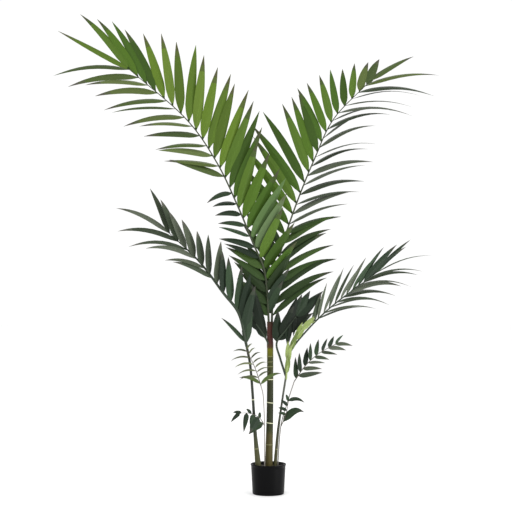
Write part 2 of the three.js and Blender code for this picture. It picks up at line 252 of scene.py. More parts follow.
# %% [markdown]
# Colours are easiest to name as they look on a screen, as a code of two hexadecimal digits each
# for red, green and blue. Blender reckons with light instead, so each code is turned into the
# share of light that it stands for.

# %% Screen colours as light
def light_of(code):
    """Light from a screen colour: c / 12.92 near black, else ((c + 0.055) / 1.055) to the 2.4."""
    shares = np.array([int(code[i : i + 2], 16) for i in (0, 2, 4)]) / 255
    low = shares / 12.92
    high = ((shares + 0.055) / 1.055) ** 2.4
    return tuple(float(c) for c in np.where(shares <= 0.04045, low, high))


LEAF_ROUGHNESS, LEAF_SHINE = 0.55, 0.15


class LeafTints:
    """The finishes of one kind of leaflet: some tops to deal out, the back, the foot, the dry tip,
    and the mean of a top and the tip where a blade begins to dry."""

    def __init__(self, name, tops, back, foot, tip):
        lights = [light_of(code) for code in [*tops, back, foot, tip]]
        lights.append(np.mean([lights[0], lights[-1]], axis=0))
        self.tops = len(tops)
        self.finishes = [
            finish(f"{name}_{count}", light, LEAF_ROUGHNESS, specular=LEAF_SHINE)
            for count, light in enumerate(lights)
        ]


FRESH = LeafTints("fresh_leaf", ["4d651f", "556e20", "465c1b", "5a7128"], "58703c", "2c4213", "4a4c2e")
# A darker copy of the fresh green: painted shade, for leaflets of the tall fronds that lie in the
# shade of others.
SHADED_FRESH = LeafTints("fresh_in_painted_shade", ["3c5819", "45611a", "334b15", "4a6420"], "4a6234", "203310", "40452c")
SHADY = LeafTints("shady_leaf", ["2f431f", "28391b", "384d22", "233219"], "465838", "182312", "3a3c30")
MOSSY = LeafTints("mossy_leaf", ["46562b", "505e30", "3d4c28", "586639"], "5c6846", "2c3a20", "4c4a40")
# The leaves' own dark grey-green, deepened as painted shade for leaflets low down, at the back and
# inside the plant.
DARK_SHADE = LeafTints("dark_leaf", ["2a3a27", "233022", "30422d", "1d291d"], "3d4b39", "131c13", "3a3a33")
# The darkest greens: painted shade, for leaflets deep inside the plant.
DEEP_SHADE = LeafTints("deep_painted_shade", ["1b271a", "151e14", "212f1f", "111810"], "2a3726", "0e140d", "2c2e28")
ASHEN = LeafTints("ashen_leaf", ["3e4838", "4a5242", "343d2e", "535a4c"], "585f4c", "20281f", "55554c")
PALE_BACK = LeafTints("pale_back", ["5c714a", "4f683b", "657a57"], "42601c", "31452a", "525a40")
YOUNG = LeafTints("young_leaf", ["75864a", "86965a", "5f703c"], "8a9860", "46582f", "7f8a58")
OLIVE = LeafTints("olive_leaf", ["4a5038", "565c40", "3e4432", "62684a"], "64694e", "2c3324", "4c4a3c")
print("materials so far:", len(bpy.data.materials))

# %% [markdown]
# ## Leaflets
#
# A kentia leaflet is a long blade: a short foot, a quick swell to full width, then a long taper
# to a fine tip. It is folded along its middle, and it sags under its own weight. In Blender such
# a blade could be a plane with modifiers, but there are more than two hundred, all different, so
# they are worked out together as four-sided tubes. The four corners are the right edge, the back
# of the midrib, the left edge and the front of the midrib.

# %% The outline of a blade
STATIONS = np.array([0, 0.012, 0.035, 0.07, 0.12, 0.2, 0.31, 0.43, 0.55, 0.66, 0.76, 0.85, 0.93, 1])
WIDEST, SWELL, TAPER = 0.25, 2.2, 2.1
FOOT_WIDTH, TIP_WIDTH = 0.16, 0.02
FABRIC, THIN_END = 0.7, 0.15
FOLD = 13
SWING_HALF_TURNS = 1.5


def outline(share):
    """Half width as a share of the widest: one less a power of what is left up to WIDEST, and
    after it one less a power of what is past."""
    rise = 1 - (1 - np.minimum(share / WIDEST, 1)) ** SWELL
    fall = 1 - np.clip((share - WIDEST) / (1 - WIDEST), 0, 1) ** TAPER
    return np.maximum(np.maximum(rise, FOOT_WIDTH) * fall, TIP_WIDTH)


def carried(start, along, way):
    """A direction taken along by the bend from unit a to unit b, with c their cross product:
    v + c x v + c x (c x v) / (1 + a . b)."""
    axis = np.cross(start, along)
    once = np.cross(axis, way)
    return way + once + np.cross(axis, once) / (1 + np.sum(start * along, axis=-1, keepdims=True))


def blades(foot, way, facing, length, width, sag, arch, turn, sway):
    """Rings of many blades. The middle line is foot + way L s - up sag L s2, and an arch of height
    up arch L 4 (s - s2) lifts its middle. At the foot the blade is turned by its angle about that
    line, and the bend carries it along. Its edges are set back by the fold, and the blade swings
    to the front or back by sway w s sin(1.5 pi s)."""
    s = STATIONS[None, :, None]
    fold = radians(FOLD)
    long = length[:, None, None]
    arch = arch[:, None, None]
    drop = sag[:, None, None] * s**2 - 4 * arch * (s - s**2)
    middle = foot[:, None] + (way[:, None] * s - UP * drop) * long
    along = unit(way[:, None] - UP * (2 * sag[:, None, None] * s - 4 * arch * (1 - 2 * s)))
    start = along[:, 0]
    level = square_to(facing, start)
    level = level * np.cos(turn)[:, None] + np.cross(start, level) * np.sin(turn)[:, None]
    front = carried(start[:, None], along, level[:, None])
    side = np.cross(along, front)
    half = outline(STATIONS)[None, :, None] * width[:, None, None] / 2
    swing = sway[:, None, None] * width[:, None, None] * np.sin(SWING_HALF_TURNS * pi * s) * s
    middle = middle + front * swing
    out = side * half * np.cos(fold)
    back = front * half * np.sin(fold)
    thick = front * FABRIC * MM / 2 * np.minimum(1, THIN_END + outline(STATIONS))[None, :, None]
    ring = [middle + out - back, middle - thick, middle - out - back, middle + thick]
    return np.stack(ring, axis=2)


print("a leaflet has", len(STATIONS), "stations and is folded by", FOLD, "degrees a side")

# %% [markdown]
# On a real frond the leaflets stand in two rows, one on either side of the rib, and change bit by
# bit along it. So the solids' source gives each row as a count, two shares of the rib, and values
# at even steps for the angle from the rib, the lift towards the front, the turn of the blade, the
# length and the sag. The same rule is written again here with numpy. Copies along a curve would
# be quicker, but all alike. Real leaflets are never quite even, so each strays a little from its
# row, by steps that never repeat.

# %% Rows of leaflets
SPREAD_SCATTER, SPREAD_STEP = 2.5, 0.618
LIFT_SCATTER, LIFT_STEP = 3, 0.755
TURN_SCATTER, TURN_STEP = 10, 0.57
LENGTH_SCATTER, LENGTH_STEP = 0.04, 0.414
SWAY, SWAY_STEP = 0.12, 0.333


def scatter(count, step):
    """From -1 to 1: how far whole numbers times the step reach past a whole number."""
    return 2 * ((np.arange(count) * step) % 1) - 1


def row_blades(rib, row):
    """The rings of one row's leaflets, and each one's share along the rib."""
    count = row["count"]
    stray = row.get("stray", 1)
    along = np.linspace(0, 1, count) if count > 1 else np.zeros(1)
    share = row["start"] + along * (row["end"] - row["start"])
    spread = even(row["spread"], along) + stray * SPREAD_SCATTER * scatter(count, SPREAD_STEP)
    lift = even(row["lift"], along) + LIFT_SCATTER * scatter(count, LIFT_STEP)
    turn = even(row["turn"], along) + stray * TURN_SCATTER * scatter(count, TURN_STEP)
    spread, lift, turn = np.radians([spread, lift, turn])
    length = even(row["length"], along) * (1 + LENGTH_SCATTER * scatter(count, LENGTH_STEP)) * MM
    sag = even(row["sag"], along)
    heading = rib.heading(share)
    front = square_to(np.broadcast_to(FRONT, heading.shape), heading)
    right = np.cross(heading, front)
    ahead = np.cos(spread) * np.cos(lift)
    aside = row["side"] * np.sin(spread) * np.cos(lift)
    way = ahead[:, None] * heading + aside[:, None] * right + np.sin(lift)[:, None] * front
    width = even(row["width"], along) * MM
    sway = SWAY * scatter(count, SWAY_STEP)
    arch = even(row.get("arch", 0), along)
    return blades(rib.at(share), way, front, length, width, sag, arch, turn, sway), share


print("leaflets stray by up to", SPREAD_SCATTER, "degrees from their row's spread")

# %% [markdown]
# On the real plant no two neighbours are quite the same green, their backs are paler, and most
# tips look dry. Every leaflet here takes one of its kind's tops, picked by steps of the same sort.
# Its back, its foot and its dry tip have finishes of their own. A colour attribute could hold all
# that too, but each face of a mesh can simply be given the number of its finish.

# %% Deal out the finishes
TINT_STEP = 0.377
FOOT_BANDS, TIP_BANDS = 2, 2
DRY_SHARE = 0.8


def dealt(tints, first, count):
    """For each blade, band and side, the number of its finish, counted from the kind's first."""
    pick = np.floor((scatter(count, TINT_STEP) + 1) / 2 * tints.tops).astype(int)
    chosen = np.zeros((count, len(STATIONS) - 1, 4), int)
    chosen[:, :, 2:] = pick[:, None, None]
    chosen[:, :, :2] = tints.tops
    chosen[:, :FOOT_BANDS] = tints.tops + 1
    dry = scatter(count, LENGTH_STEP) < 2 * DRY_SHARE - 1
    chosen[dry, -TIP_BANDS:] = tints.tops + 2
    chosen[dry, -TIP_BANDS - 1] = tints.tops + 3
    return first + chosen


print("of", len(STATIONS) - 1, "bands,", FOOT_BANDS, "are the foot and", TIP_BANDS, "the dry tip")

# %% [markdown]
# A frond is then two pieces: all of its leaflets joined, and its rib. Both stand for the frond's
# solid, and both ride on the plant's one body. Every leaflet could be an object of its own, but
# they are glued to the rib and never move, so one mesh is lighter and just as true.

# %% Grow a frond
RIB_STATIONS, RIB_SIDES = 60, 10
BLADE_EDGE = 20


def kind_at(tints, share):
    """The kind of leaflet at a share of the rib. The tints are one kind, or a list of limits and
    kinds along the rib, of which the first whose limit isn't passed holds."""
    if isinstance(tints, LeafTints):
        return tints
    return next(kind for limit, kind in tints if share <= limit)


def grow_rib(node, points, radii, rib_finish):
    """A frond's rib as a round limb that runs out to a fine end."""
    route = Route(points)
    shares = np.linspace(0, 1, RIB_STATIONS)
    rings = limb_rings(route, radii, shares, RIB_SIDES)
    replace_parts(tube_piece(f"{node}_rib", rings, rib_finish), node)
    return route


def grow_frond(node, points, radii, rows, rib_finish):
    """A frond from the points of its rib and its rows of leaflets."""
    route = grow_rib(node, points, radii, rib_finish)
    starts, finishes, numbers, rings = {}, [], [], []
    for row in rows:
        made, share = row_blades(route, row)
        kinds = np.array([kind_at(row["tints"], place) for place in share])
        chosen = np.zeros((len(share), len(STATIONS) - 1, 4), int)
        for tints in dict.fromkeys(kinds):
            if tints not in starts:
                starts[tints] = len(finishes)
                finishes.extend(tints.finishes)
            of_kind = kinds == tints
            chosen[of_kind] = dealt(tints, starts[tints], len(share))[of_kind]
        rings.append(made)
        numbers.append(chosen)
    rings = np.concatenate(rings)
    numbers = np.concatenate(numbers)
    faces = np.concatenate([part.reshape(-1, 4) for part in wall_of(rings)])
    chosen = np.concatenate([numbers.ravel(), numbers[:, 0, 0], numbers[:, -1, 0]])
    leaves = piece(f"{node}_leaves", rings.reshape(-1, 3), faces, finishes, chosen, BLADE_EDGE)
    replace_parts(leaves, node)


print("a rib has", RIB_SIDES, "sides")

# %% [markdown]
# ## The two tall fronds
#
# They rise out of the crownshaft, part to the left and the right, and lean over at the tips. The
# left one comes a little to the front. Its outer leaflets sag in arcs and turn away, while the
# inner ones stand up and show their full width. The lowest leaflets of both fronds are painted
# darker, as shade from the rest, and leaflets in the shade of others take a darker copy of the
# green as painted shade. A frond could be modelled leaf by leaf, but a rib and a few lists are
# quicker to read and to change, so every frond below is given that way.

# %% The left tall frond
STEM_SHINE = 0.2
TALL_RIB = finish("tall_rib", light_of("3e4433"), 0.55, specular=STEM_SHINE)

grow_frond(
    "frond_upper_left",
    points=[
        [1.5, -5, 750], [-5, -12, 888], [-21, -17, 989], [-65, -26, 1089], [-132, -42, 1251],
        [-224, -66, 1442], [-356, -102, 1627], [-592, -150, 1830],
    ],
    radii=[5, 3.8, 2.8, 1.5],
    rows=[
        dict(
            side=1, count=27, start=0.03, end=1, width=[38, 46, 50, 48, 46, 46, 44, 40, 34],
            arch=[0, 0, 0.01, 0.03, 0.05],
            tints=[
                (0.08, DARK_SHADE), (0.12, SHADY), (0.25, SHADED_FRESH), (0.31, PALE_BACK), (0.52, SHADED_FRESH),
                (0.88, FRESH), (1, SHADED_FRESH),
            ],
            spread=[27, 44, 53, 40, 48, 46, 46, 28, 11], lift=[10, 12, 12, 8, 3, 0, -4, -8, -8],
            turn=[25, 20, 10, 5, 0, 0, 5, 10, 10],
            length=[170, 235, 305, 315, 365, 340, 330, 305, 315],
            sag=[0.04, 0.04, 0.03, 0.02, 0.02, 0.03, 0.03, 0.03, 0.03],
        ),
        dict(
            side=-1, count=13, start=0.52, end=1, width=35, stray=2, tints=MOSSY,
            spread=[45, 46, 38, 28, 30], lift=[30, 32, 30, 24, 14], turn=[58, 58, 56, 54, 46],
            length=[305, 265, 305, 295, 320], sag=[0.1, 0.14, 0.2, 0.22, 0.28],
        ),
        dict(
            side=-1, count=12, start=0.02, end=0.46, width=[38, 36, 32, 28, 26], stray=2,
            tints=[(0.2, SHADY), (1, DARK_SHADE)],
            spread=[46, 41, 40, 46, 58], lift=[2, 4, 8, 30, 50], turn=[15, 20, 30, 45, 55],
            length=[170, 215, 180, 140, 165], sag=[0.06, 0.08, 0.12, 0.2, 0.28],
        ),
        dict(
            side=-1, count=1, start=1, end=1, width=28, tints=FRESH,
            spread=14, lift=12, turn=40, length=365, sag=0.04,
        ),
    ],
    rib_finish=TALL_RIB,
)

# %% [markdown]
# The right tall frond leans a little to the back. Its outer leaflets are ashen and turned nearly
# edge on, so they read as thin lines, and one last leaflet ends the rib.

# %% The right tall frond
grow_frond(
    "frond_upper_right",
    points=[
        [15.5, 4, 750], [20, 9, 870], [40, 15, 990], [73, 22, 1120], [133, 38, 1291],
        [204, 62, 1464], [292, 96, 1646], [458, 160, 1821],
    ],
    radii=[5, 3.8, 2.8, 1.5],
    rows=[
        dict(
            side=-1, count=24, start=0.03, end=0.98, width=[38, 40, 44, 44, 44, 42, 38, 38, 42],
            arch=[0, 0.01, 0.04, 0.03], tints=[(0.3, SHADY), (0.9, SHADED_FRESH), (1, MOSSY)],
            spread=[49, 46, 52, 54, 53, 38, 48, 46, 20], lift=[-4, -4, -4, -4, -3, 0, 4, 6, 6],
            turn=[10, 10, 5, 0, 0, 0, 5, 10, 10],
            length=[185, 220, 305, 365, 385, 300, 245, 175, 135], sag=0.03,
        ),
        dict(
            side=1, count=26, start=0.02, end=0.97, width=[34, 36, 36, 34, 34, 34, 28, 20, 36],
            stray=2, tints=[(0.35, SHADY), (0.95, ASHEN), (1, MOSSY)],
            spread=[46, 41, 34, 37, 39, 28, 22, 22, 18],
            lift=[0, -4, -8, -12, -18, -22, -22, -18, -8],
            turn=[-10, -20, -35, -45, -50, -50, -50, -55, -36],
            length=[375, 355, 290, 325, 370, 400, 430, 425, 420],
            sag=[0.28, 0.26, 0.24, 0.24, 0.26, 0.28, 0.3, 0.28, 0.26],
        ),
        dict(
            side=1, count=1, start=1, end=1, width=32, tints=MOSSY, arch=0.04,
            spread=16, lift=-6, turn=-24, length=275, sag=0.03,
        ),
    ],
    rib_finish=TALL_RIB,
)

# %% [markdown]
# ## The two lower fronds
#
# Each ends a side stem. They are the same kind of frond, smaller and of a dark, greyish green, in
# part painted shade. The leaflets on the outer side begin only about half way up the rib, apart
# from one near the foot of the left frond.

# %% The lower left frond
LOW_RIB = finish("low_rib", light_of("303a2d"), 0.55, specular=STEM_SHINE)

grow_frond(
    "frond_lower_left",
    points=[[-94, -40, 644], [-127, -66, 786], [-197, -86, 881], [-296, -98, 1011], [-424, -90, 1133]],
    radii=[6, 6.5, 4.5, 1.8],
    rows=[
        dict(
            side=1, count=13, start=0.02, end=1, width=[46, 42, 38, 40, 42, 38, 34], arch=0.05,
            tints=[(0.45, DARK_SHADE), (1, ASHEN)],
            spread=[19, 25, 36, 40, 29, 25, 25], lift=[4, 8, 10, 14, 18, 18, 14],
            turn=[20, 15, 20, 30, 40, 40, 35], length=[235, 220, 205, 200, 165, 195, 210],
            sag=[0.02, 0.02, 0.02, 0.03, 0.03, 0.03, 0.03],
        ),
        dict(
            side=-1, count=6, start=0.56, end=1, width=24, stray=2, arch=0.05, tints=ASHEN,
            spread=[30, 28, 24, 24, 16], lift=[20, 24, 26, 22, 12], turn=[50, 50, 45, 35, 15],
            length=[215, 200, 280, 280, 280], sag=[0.1, 0.16, 0.2, 0.2, 0.12],
        ),
        dict(
            side=-1, count=1, start=0.03, end=0.03, width=22, arch=0.05, tints=DARK_SHADE,
            spread=34, lift=4, turn=50, length=165, sag=0.04,
        ),
    ],
    rib_finish=LOW_RIB,
)

# %% [markdown]
# The right one rises from the lower of the two side stems. Its leaflets are narrow and differ
# much from one to the next, so their widths are lists with nearly one value for each leaflet.

# %% The lower right frond
grow_frond(
    "frond_lower_right",
    points=[[78, -10, 518], [94, -18, 615], [164, -26, 709], [281, -24, 822], [469, 16, 960]],
    radii=[4.5, 3.8, 3, 1.6],
    rows=[
        dict(
            side=-1, count=12, start=0.42, end=1, stray=2, arch=0.03,
            width=[22, 18, 14, 22, 16, 24, 22, 30, 26, 32, 28, 20],
            tints=[(0.75, ASHEN), (1, DARK_SHADE)],
            spread=[34, 26, 26, 16, 5], lift=[6, 8, 8, 6, 0], turn=[30, 35, 35, 30, 30],
            length=[155, 200, 185, 220, 225], sag=[0.02, 0.02, 0.03, 0.03, 0.03],
        ),
        dict(
            side=1, count=10, start=0.47, end=1, stray=2, arch=0.04, tints=ASHEN,
            width=[20, 14, 18, 16, 34, 30, 16, 18, 14, 12],
            spread=[26, 24, 18, 16, 10], lift=[-14, -18, -20, -16, -8],
            turn=[-45, -45, -35, -45, -45], length=[235, 280, 300, 300, 290],
            sag=[0.18, 0.22, 0.24, 0.22, 0.14],
        ),
    ],
    rib_finish=LOW_RIB,
)

# %% [markdown]
# ## The heart of the plant
#
# Between the crownshaft and the tops of the side stems stand two groups of short broad leaflets,
# painted darker than the rest as shade, because they sit in each other's shade. They could be
# single leaves set by hand, but they too follow a short rib, so they are grown as fronds.

# %% The left heart group
grow_frond(
    "heart_left",
    points=[[2, -8, 652], [-22, -16, 696], [-54, -20, 742]],
    radii=[4.5, 3.5, 2.5],
    rows=[
        dict(
            side=1, count=6, start=0.25, end=1, width=46, tints=[(0.4, DEEP_SHADE), (1, DARK_SHADE)],
            spread=[8, 22, 20, 12], lift=[-4, -6, -8, -10],
            turn=[15, 15, 10, 10], length=[230, 245, 230, 190], sag=0.02,
        ),
        dict(
            side=-1, count=3, start=0.3, end=1, width=40, tints=DEEP_SHADE,
            spread=[2, 4], lift=[-2, -4], turn=20, length=[150, 140], sag=0.02,
        ),
    ],
    rib_finish=LOW_RIB,
)

# %% [markdown]
# The right group follows a rib that starts at the top of the right stem. Its last row points back
# down along the rib, which a spread of more than a right angle gives.

# %% The right heart group
grow_frond(
    "heart_right",
    points=[[76, -11, 514], [51, -22, 593], [36, -26, 658], [72, -32, 710], [120, -38, 773]],
    radii=[5, 4.6, 3.8, 2],
    rows=[
        dict(
            side=1, count=4, start=0.56, end=1, width=44, tints=DEEP_SHADE,
            spread=[17, 14, 6], lift=[-6, -4, -8],
            turn=[-15, -15, -20], length=[150, 160, 170], sag=0.03,
        ),
        dict(
            side=-1, count=5, start=0.53, end=1, width=44, tints=DEEP_SHADE,
            spread=[19, 20, 10], lift=[6, 8, 4], turn=20, length=[150, 150, 130], sag=0.02,
        ),
        dict(
            side=1, count=3, start=0.78, end=1, width=18, tints=DEEP_SHADE,
            spread=[142, 150, 152], lift=[12, 14, 14], turn=0, length=[85, 90, 80], sag=0.05,
        ),
    ],
    rib_finish=LOW_RIB,
)

# %% [markdown]
# ## The young leaf
#
# A palm opens its fronds like fans. The one on the right stem is still folded, so its leaflets lie
# almost along the rib and are a pale yellow-green. It could be one long closed bud, but leaflets
# at a small angle to the rib leave the loose points that a young leaf has.

# %% Young leaf
YOUNG_RIB = finish("young_rib", light_of("8a9a5c"), 0.5)

grow_frond(
    "young_leaf",
    points=[[78, -10, 500], [81, -36, 548], [93, -54, 625], [143, -64, 716], [201, -66, 755]],
    radii=[4, 3, 2, 1.2],
    rows=[
        dict(
            side=1, count=5, start=0.1, end=0.78, width=[22, 24], stray=2, tints=YOUNG,
            spread=4, lift=0, turn=0, length=[90, 80], sag=[0.02, 0.06],
        ),
        dict(
            side=-1, count=5, start=0.14, end=0.8, width=24, stray=2, tints=YOUNG,
            spread=5, lift=0, turn=0, length=[95, 75], sag=[0.02, 0.05],
        ),
    ],
    rib_finish=YOUNG_RIB,
)

# %% [markdown]
# ## Small fronds and sprouts
#
# Two thin wire shoots carry small leaves: a little frond at the top of each, and a sprout about
# half way up. The left frond's olive leaflets are so narrow and light that they curl over, which
# is only a larger sag in the same rule.

# %% The small left frond
SMALL_RIB = finish("small_rib", light_of("57534a"), 0.6, specular=STEM_SHINE)

grow_frond(
    "small_frond_left",
    points=[[-32, -52, 474], [-53, -58, 540], [-73, -60, 587], [-95, -60, 631]],
    radii=[2, 1.6, 1.1],
    rows=[
        dict(
            side=1, count=7, start=0.24, end=1, width=9, tints=OLIVE,
            spread=[62, 62, 60, 58, 50], lift=[6, 10, 12, 10, 6],
            turn=30, length=[84, 82, 80, 78, 62], sag=[0.44, 0.47, 0.5, 0.5, 0.5],
        ),
        dict(
            side=-1, count=5, start=0.22, end=0.95, width=9, tints=OLIVE,
            spread=[48, 46, 44, 40, 34], lift=[12, 14, 14, 12, 8],
            turn=30, length=[96, 92, 90, 96, 70], sag=[0.5, 0.5, 0.5, 0.48, 0.46],
        ),
        dict(
            side=1, count=1, start=0.04, end=0.04, width=17, tints=MOSSY,
            spread=60, lift=6, turn=10, length=145, sag=0.4,
        ),
        dict(
            side=-1, count=1, start=0.06, end=0.06, width=17, tints=MOSSY,
            spread=35, lift=8, turn=10, length=127, sag=0.4,
        ),
    ],
    rib_finish=SMALL_RIB,
)

# %% [markdown]
# The small right frond has broader leaflets, darker in part as painted shade, and they sag less.

# %% The small right frond
grow_frond(
    "small_frond_right",
    points=[[114, 36, 486], [162, 42, 553], [223, 50, 608], [296, 58, 648]],
    radii=[2.2, 1.7, 1.1],
    rows=[
        dict(
            side=-1, count=8, start=0.06, end=1, width=[22, 24, 24, 22, 22, 20], stray=2,
            tints=DARK_SHADE,
            spread=[40, 34, 38, 42, 40, 26], lift=[-10, -12, -14, -12, -10, -6],
            turn=25, length=[105, 88, 92, 80, 66, 58], sag=[0.04, 0.06, 0.08, 0.08, 0.1, 0.1],
        ),
        dict(
            side=1, count=7, start=0.12, end=1, width=[34, 18, 18, 18, 20, 20], stray=2,
            tints=ASHEN,
            spread=[44, 38, 36, 32, 24, 16], lift=[14, 16, 14, 12, 10, 6],
            turn=-30, length=[118, 82, 70, 66, 84, 78], sag=[0.2, 0.2, 0.2, 0.2, 0.26, 0.26],
        ),
    ],
    rib_finish=SMALL_RIB,
)

# %% [markdown]
# Each sprout is a short wire with a few dark leaves, their darkness partly painted shade. On the
# left one, two of them are broad and stand out at right angles near its foot.

# %% The left sprout
grow_frond(
    "base_sprout_left",
    points=[[-17, -30, 300], [-38, -44, 335], [-80, -54, 356], [-123, -58, 358]],
    radii=[2, 1.6, 1.1],
    rows=[
        dict(
            side=-1, count=2, start=0.1, end=0.36, width=42, tints=DARK_SHADE,
            spread=[92, 88], lift=[16, 12], turn=0, length=[80, 70], sag=0.1,
        ),
        dict(
            side=-1, count=3, start=0.56, end=1, width=[22, 24, 18], tints=DARK_SHADE,
            spread=[96, 80, 36], lift=[8, 6, 4], turn=[15, 20, 20], length=[46, 66, 46], sag=0.3,
        ),
        dict(
            side=1, count=3, start=0.3, end=0.95, width=15, tints=DARK_SHADE,
            spread=[40, 36, 24], lift=[12, 10, 6], turn=20, length=[50, 46, 40], sag=0.3,
        ),
    ],
    rib_finish=SMALL_RIB,
)

# %% [markdown]
# The right sprout has one long leaf that bends over, and a few short ones.

# %% The right sprout
grow_frond(
    "base_sprout_right",
    points=[[56, 31, 290], [70, 8, 325], [80, -12, 361], [88, -22, 406]],
    radii=[2, 1.6, 1.1],
    rows=[
        dict(
            side=1, count=2, start=0.2, end=1, width=[34, 18], tints=DARK_SHADE,
            spread=[10, 45], lift=[4, 2], turn=-10, length=[220, 85], sag=[0.46, 0.6],
        ),
        dict(
            side=-1, count=4, start=0.5, end=1, width=15, tints=DARK_SHADE,
            spread=[66, 60, 46, 24], lift=[16, 14, 12, 6],
            turn=20, length=[48, 52, 50, 42], sag=[0.24, 0.24, 0.24, 0.2],
        ),
    ],
    rib_finish=SMALL_RIB,
)

# %% [markdown]
# ## The cane and the stems
#
# The cane is painted in zones: olive-brown near the pot, dark green above, and a yellow-green band
# under the crownshaft. An image could hold the zones, but they depend on nothing but the height,
# so a colour ramp on it is all that they need.

# %% A finish in zones of height
STREAKS = (900, 900, 60)


def zoned(name, zones, roughness, grain):
    """A grained finish whose colour runs through codes at heights in millimetres, with a grain in
    streaks along the limb."""
    low, high = zones[0][0], zones[-1][0]
    made = finish(name, light_of(zones[0][1]), roughness, grain, STREAKS, specular=STEM_SHINE)
    nodes, links = made.node_tree.nodes, made.node_tree.links
    place = nodes.new("ShaderNodeTexCoord")
    parts = nodes.new("ShaderNodeSeparateXYZ")
    height = nodes.new("ShaderNodeMapRange")
    ramp = nodes.new("ShaderNodeValToRGB")
    height.inputs["From Min"].default_value = low * MM
    height.inputs["From Max"].default_value = high * MM
    stops = ramp.color_ramp.elements
    while len(stops) < len(zones):
        stops.new(1)
    for stop, (level, code) in zip(stops, zones):
        stop.position = (level - low) / (high - low)
        stop.color = (*light_of(code), 1)
    links.new(place.outputs["Object"], parts.inputs["Vector"])
    links.new(parts.outputs["Z"], height.inputs["Value"])
    links.new(height.outputs["Result"], ramp.inputs["Fac"])
    links.new(ramp.outputs["Color"], nodes["Principled BSDF"].inputs["Base Color"])
    return made


STEM_FOOT, CANE_TOP = 112, 637
CANE_ZONES = [
    (STEM_FOOT, "48411f"), (258, "403b1c"), (275, "2c3012"), (300, "242814"), (480, "262a14"),
    (500, "2c3010"), (590, "363a14"), (604, "56560c"), (630, "60600a"), (CANE_TOP, "4e4210"),
]
CANE = zoned("painted_cane", CANE_ZONES, roughness=0.55, grain=0.6)
print("cane zones:", len(CANE_ZONES))

# %% [markdown]
# A cane isn't a smooth pipe: it swells a little at the scars of old leaves. A Displace modifier
# could do that, but the places are few and known, so the relief adds a small bell at each ring's
# height, and a few shallow grooves that wind down the cane.

# %% The cane
CANE_STATIONS, CANE_SIDES = 180, 36
RINGS = [(498.6, 0), (397.4, -7), (308.8, -5)]
FAINT_RINGS = [(599, 0), (575.4, 2), (554.5, 0), (214.6, 0)]
BELL_WIDTH, BELL_HEIGHT = 5.0, 0.5
GROOVES, GROOVE_DEPTH, GROOVE_TWIST = 9, 0.18, 90


def cane_relief(share, angle):
    """Bells exp(-(z - ring)2 / width2) at the rings, and grooves cos(count angle + z / twist)."""
    height = STEM_FOOT + share * (CANE_TOP - STEM_FOOT)
    bells = sum(np.exp(-(((height - ring) / BELL_WIDTH) ** 2)) for ring, _ in RINGS + FAINT_RINGS)
    grooves = np.cos(GROOVES * angle + height / GROOVE_TWIST)
    return (BELL_HEIGHT * bells + GROOVE_DEPTH * grooves) * MM


CANE_ROUTE = Route([[2, 0, STEM_FOOT], [4, 0, 212], [7, 0, 343], [8, 0, 474], [8, 0, CANE_TOP]])
CANE_RADII = [17, 15.5, 14.5, 13.5, 13.5]
cane_shares = np.linspace(0, 1, CANE_STATIONS)
cane_rings = limb_rings(CANE_ROUTE, CANE_RADII, cane_shares, CANE_SIDES, cane_relief)
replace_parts(tube_piece("trunk_cane", cane_rings, CANE, sharp=60), "trunk")

# %% [markdown]
# The pale rings stand for the scars of old leaves. Each is a flat hoop round the limb. A torus
# would do, but a hoop that is closed both ways from the same kind of grid can be tilted and fitted
# to the limb's radius at once.

# %% Pale rings
RING_PALE = finish("pale_ring", light_of("c8c9a8"), 0.6)
RING_FAINT = finish("faint_ring", light_of("77774f"), 0.6)
RING_ROUND, RING_SECTION = 40, 8
PALE_WIDTH, FAINT_WIDTH, CANE_PROUD = 4.4, 3, 0.9


def hoop(route, radii, share, width, proud, tilt):
    """A closed hoop: a circle of the limb's radius, tilted sideways, with an oval section of the
    width along the limb. Its point is centre + (r + p cos b) across + (w / 2) sin b along."""
    share = np.array([share])
    centre, along = route.at(share)[0], route.heading(share)[0]
    front = square_to(FRONT, along)
    side = np.cross(along, front)
    a = np.arange(RING_ROUND)[:, None, None] * 2 * pi / RING_ROUND
    b = np.arange(RING_SECTION)[None, :, None] * 2 * pi / RING_SECTION
    across = np.cos(a) * side + np.sin(a) * front
    radius = even(radii, share)[0] * MM
    rise = np.tan(radians(tilt)) * radius * np.cos(a) * along
    height = along * width * MM / 2 * np.sin(b)
    return centre + across * (radius + proud * MM * np.cos(b)) + rise + height


def hoops(name, shapes, ring_finish):
    """Several hoops of one finish as one piece."""
    spot = np.arange(len(shapes) * RING_ROUND * RING_SECTION).reshape(-1, RING_ROUND, RING_SECTION)
    beside = np.roll(spot, -1, axis=1)
    above = np.roll(spot, -1, axis=2)
    corner = np.roll(beside, -1, axis=2)
    faces = np.stack([spot, above, corner, beside], axis=-1).reshape(-1, 4)
    points = np.stack(shapes).reshape(-1, 3)
    piece(name, points, faces, [ring_finish], np.zeros(len(faces), int), sharp=60)


def cane_hoops(rings, width):
    """A hoop on the cane at each height, tilted by its degrees."""
    reach = CANE_TOP - STEM_FOOT
    return [
        hoop(CANE_ROUTE, CANE_RADII, (height - STEM_FOOT) / reach, width, CANE_PROUD, tilt)
        for height, tilt in rings
    ]


hoops("trunk_rings", cane_hoops(RINGS, PALE_WIDTH), RING_PALE)
hoops("trunk_faint_rings", cane_hoops(FAINT_RINGS, FAINT_WIDTH), RING_FAINT)

# %% [markdown]
# The crownshaft is made of the rolled feet of the tall fronds, one inside the other. A turned
# tube would do from far off, but two shorter sheaths round the long one, each with a slanting lip,
# make the shaft look wrapped from close by.

